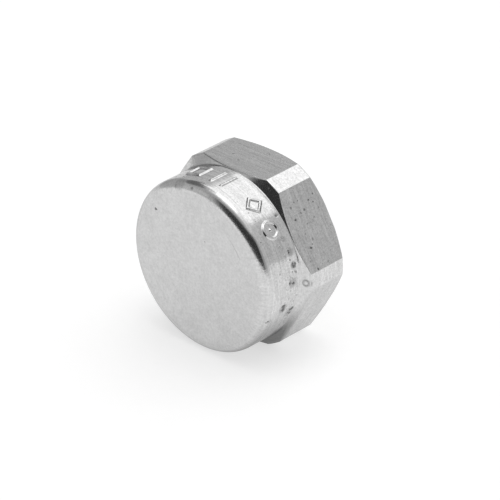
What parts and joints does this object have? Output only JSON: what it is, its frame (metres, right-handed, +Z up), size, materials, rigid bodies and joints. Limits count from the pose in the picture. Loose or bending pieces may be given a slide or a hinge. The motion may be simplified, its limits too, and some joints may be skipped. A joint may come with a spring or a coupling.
{
  "type": "pipe cap",
  "caption": "Plated female hexagon cap that closes the end of a threaded pipe: round closed end, chamfered hexagon collar, threaded socket and a flat sealing washer.",
  "frame": {"origin": "centre of the mouth's plane, on the thread's axis", "axes": "+Y along the thread's axis, out of the open mouth; -Z is the normal of the hexagon flat that the cap lies on; +Z up"},
  "size_m": [0.0276, 0.0142, 0.0251],
  "materials": {
    "plated_brass": "satin",
    "rubber": "matte"
  },
  "bodies": {
    "cap": {"cap_body": "plated_brass"},
    "washer": {"sealing_washer": "rubber"}
  },
  "joints": [
    {"name": "washer_removal", "type": "slide", "parent": "cap", "child": "washer", "axis": [0, 1, 0], "range_m": [0, 0.014]}
  ]
}
